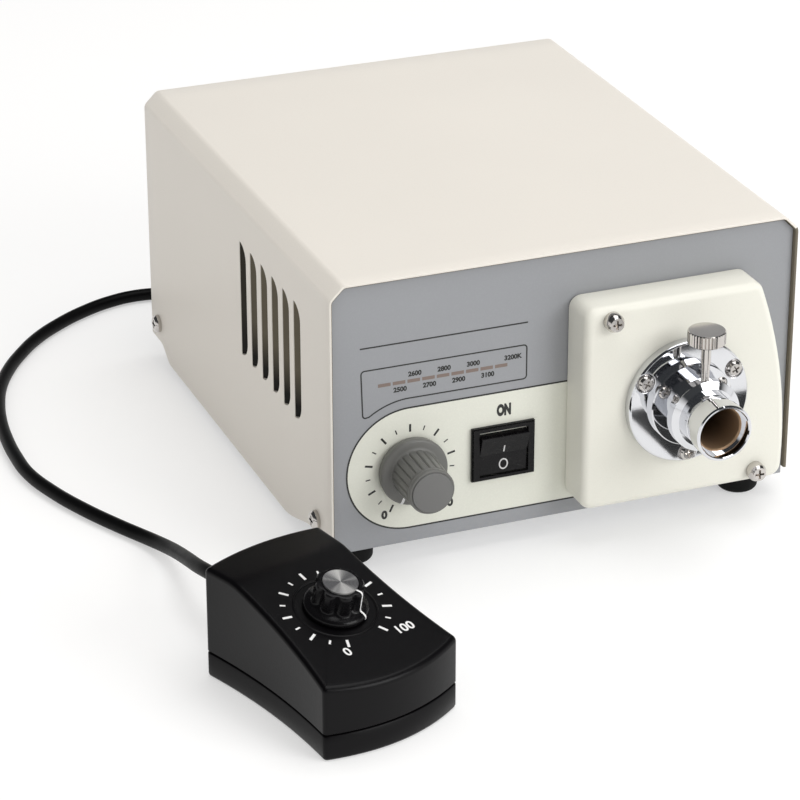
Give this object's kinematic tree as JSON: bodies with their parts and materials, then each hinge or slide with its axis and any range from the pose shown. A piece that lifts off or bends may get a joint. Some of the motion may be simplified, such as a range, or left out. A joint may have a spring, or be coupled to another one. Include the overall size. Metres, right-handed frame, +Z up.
{
  "type": "fiber optic illuminator",
  "caption": "Lab light source: louvred steel case, chrome light guide port with clamp screw, intensity dial, rocker switch and a small wired dimmer box with its own knob.",
  "frame": {"origin": "on the floor under the middle of the box round the case and the dimmer box together, cord and plug left out", "axes": "+Y from the front panel to the back, +X to the right seen from the front, +Z up"},
  "size_m": [0.267, 0.4098, 0.114],
  "materials": {
    "cover_paint": "fine textured cream coat, satin",
    "chassis_steel": "zinc plated sheet",
    "panel_paint": "satin gray print on sheet",
    "nickel": "bright plated screws",
    "rubber_black": "matt",
    "housing_paint": "satin cream coat",
    "port_chrome": "mirror bright",
    "liner_bronze": "browned metal",
    "knob_gray": "fine grained",
    "cap_gray": "satin",
    "switch_black": "semi gloss",
    "mirror_coat": "bright dished reflector",
    "quartz": "clear",
    "ceramic_white": "matt",
    "heat_filter": "clear",
    "zinc_sheet": "zinc plated",
    "core_iron": "stacked sheet, lacquered",
    "winding": "copper winding under yellow tape",
    "board_green": "lacquered board",
    "capacitor_blue": "shrink sleeve",
    "sink_aluminium": "plain",
    "terminal_green": "plain",
    "fan_black": "moulded",
    "guard_steel": "bright wire pattern",
    "inlet_black": "moulded",
    "pin_brass": "plated",
    "box_black": "semi gloss moulding",
    "cap_spun": "spun",
    "cord_black": "satin sheath"
  },
  "bodies": {
    "case": {"case_cover": "cover_paint", "chassis": "chassis_steel", "front_panel": "panel_paint", "cover_screws": "nickel", "feet": "rubber_black", "foot_screws": "zinc_sheet", "dial_pot": "zinc_sheet", "dial_nut": "nickel", "switch_body": "switch_black", "lamp_reflector": "mirror_coat", "lamp_capsule": "quartz", "lamp_socket": "ceramic_white", "lamp_bracket": "zinc_sheet", "heat_glass": "heat_filter", "glass_clips": "zinc_sheet", "transformer_core": "core_iron", "transformer_coil": "winding", "transformer_frame": "zinc_sheet", "transformer_screws": "zinc_sheet", "control_board": "board_green", "board_posts": "zinc_sheet", "board_capacitors": "capacitor_blue", "heat_sink": "sink_aluminium", "terminal_block": "terminal_green", "fan_frame": "fan_black", "fan_guard": "guard_steel", "fan_screws": "nickel", "inlet_body": "inlet_black", "inlet_pins": "pin_brass", "inlet_screws": "nickel", "dimmer_jack": "inlet_black", "box_shell": "box_black", "box_base": "box_black", "box_screws": "zinc_sheet", "box_pot": "zinc_sheet", "box_nut": "nickel", "cord_gland": "rubber_black", "cord_plug": "inlet_black", "plug_boot": "rubber_black", "cord": "cord_black"},
    "dial": {"dial_knob": "knob_gray", "dial_cap": "cap_gray", "dial_shaft": "zinc_sheet"},
    "rocker": {"rocker": "switch_black"},
    "box_dial": {"box_knob": "switch_black", "knob_cap": "cap_spun", "box_shaft": "zinc_sheet"},
    "lamp_door": {"lamp_cover": "housing_paint", "lamp_cover_screws": "nickel", "port_flange": "port_chrome", "flange_screws": "nickel", "port_collar": "port_chrome", "collar_screws": "nickel", "port_nose": "port_chrome", "port_liner": "liner_bronze"},
    "clamp": {"clamp_screw": "nickel"},
    "fan": {"fan_rotor": "fan_black"},
    "fuse": {"fuse_drawer": "inlet_black"}
  },
  "joints": [
    {"name": "dial_turn", "type": "hinge", "parent": "case", "child": "dial", "pos_m": [-0.03, -0.0495, 0.0385], "axis": [0, 1, 0], "range_deg": [0, 306]},
    {"name": "rocker_tilt", "type": "hinge", "parent": "case", "child": "rocker", "pos_m": [0.0055, -0.0455, 0.0393], "axis": [1, 0, 0], "range_deg": [-18, 0]},
    {"name": "box_dial_turn", "type": "hinge", "parent": "case", "child": "box_dial", "pos_m": [-0.0887, -0.12813, 0.03483], "axis": [0.078, -0.2445, 0.9665], "range_deg": [0, 306]},
    {"name": "lamp_door_out", "type": "slide", "parent": "case", "child": "lamp_door", "axis": [0, -1, 0], "range_m": [0, 0.06]},
    {"name": "clamp_turn", "type": "hinge", "parent": "lamp_door", "child": "clamp", "pos_m": [0.0702, -0.079, 0.0759], "axis": [0, 0, 1], "range_deg": [0, 540]},
    {"name": "fan_spin", "type": "hinge", "parent": "case", "child": "fan", "pos_m": [0.069, 0.1485, 0.059], "axis": [0, 1, 0], "continuous": true},
    {"name": "fuse_drawer_out", "type": "slide", "parent": "case", "child": "fuse", "axis": [0, 1, 0], "range_m": [0, 0.03]}
  ]
}
